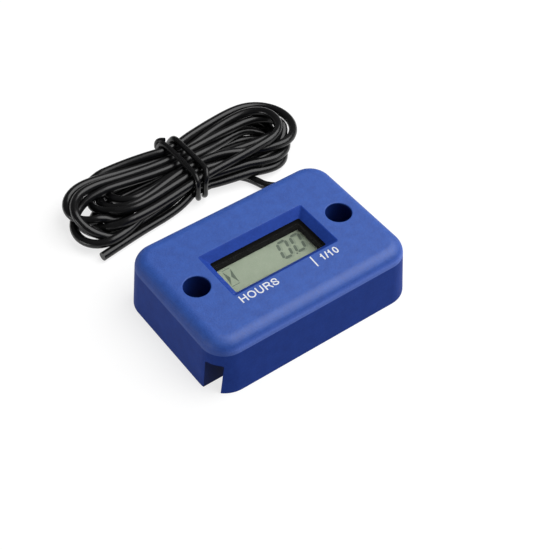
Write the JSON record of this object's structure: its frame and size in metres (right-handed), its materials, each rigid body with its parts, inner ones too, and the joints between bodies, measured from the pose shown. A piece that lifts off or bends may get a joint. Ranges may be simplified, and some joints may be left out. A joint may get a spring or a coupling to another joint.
{
  "type": "hour meter",
  "caption": "Small engine hour meter: moulded case with a sunken display window, sunk screw holes at both ends, corner wire notches and a pickup lead tied in a hank.",
  "frame": {"origin": "centre of the case's rim, on the surface that it is screwed to", "axes": "+X along the case in the reading direction, +Y away from the reader, +Z out of the display face"},
  "size_m": [0.0687, 0.0739, 0.015],
  "materials": {
    "case_blue": "fine moulded grain",
    "clear_lens": "clear",
    "black_bezel": "matte black",
    "lcd_film": "satin grey-green",
    "lcd_glass": "clear",
    "reflector": "satin",
    "zebra_rubber": "matte",
    "board_green": "solder mask",
    "black_resin": "satin black",
    "steel": "satin",
    "chip_black": "matte",
    "chip_tan": "matte",
    "solder": "bright",
    "copper": "bright",
    "lead_black": "satin black",
    "tie_black": "satin black"
  },
  "bodies": {
    "root": {"case_shell": "case_blue", "window_lens": "clear_lens", "display_bezel": "black_bezel", "lcd_front_polariser": "lcd_film", "lcd_front_glass": "lcd_glass", "lcd_rear_glass": "lcd_glass", "lcd_reflector": "reflector", "zebra_strip_far": "zebra_rubber", "zebra_strip_near": "zebra_rubber", "circuit_board": "board_green", "controller_glob": "black_resin", "clock_crystal": "steel", "input_transistor": "chip_black", "input_resistor": "chip_black", "supply_capacitor": "chip_tan", "crystal_capacitor": "chip_tan", "coin_cell": "steel", "cell_tab_positive": "steel", "cell_tab_negative": "steel", "lead_solder_joint": "solder", "lead_core": "copper", "lead_inner": "lead_black", "potting_compound": "black_resin", "pickup_lead": "lead_black", "lead_hank": "lead_black", "lead_tail": "lead_black", "hank_tie": "tie_black"}
  },
  "joints": []
}
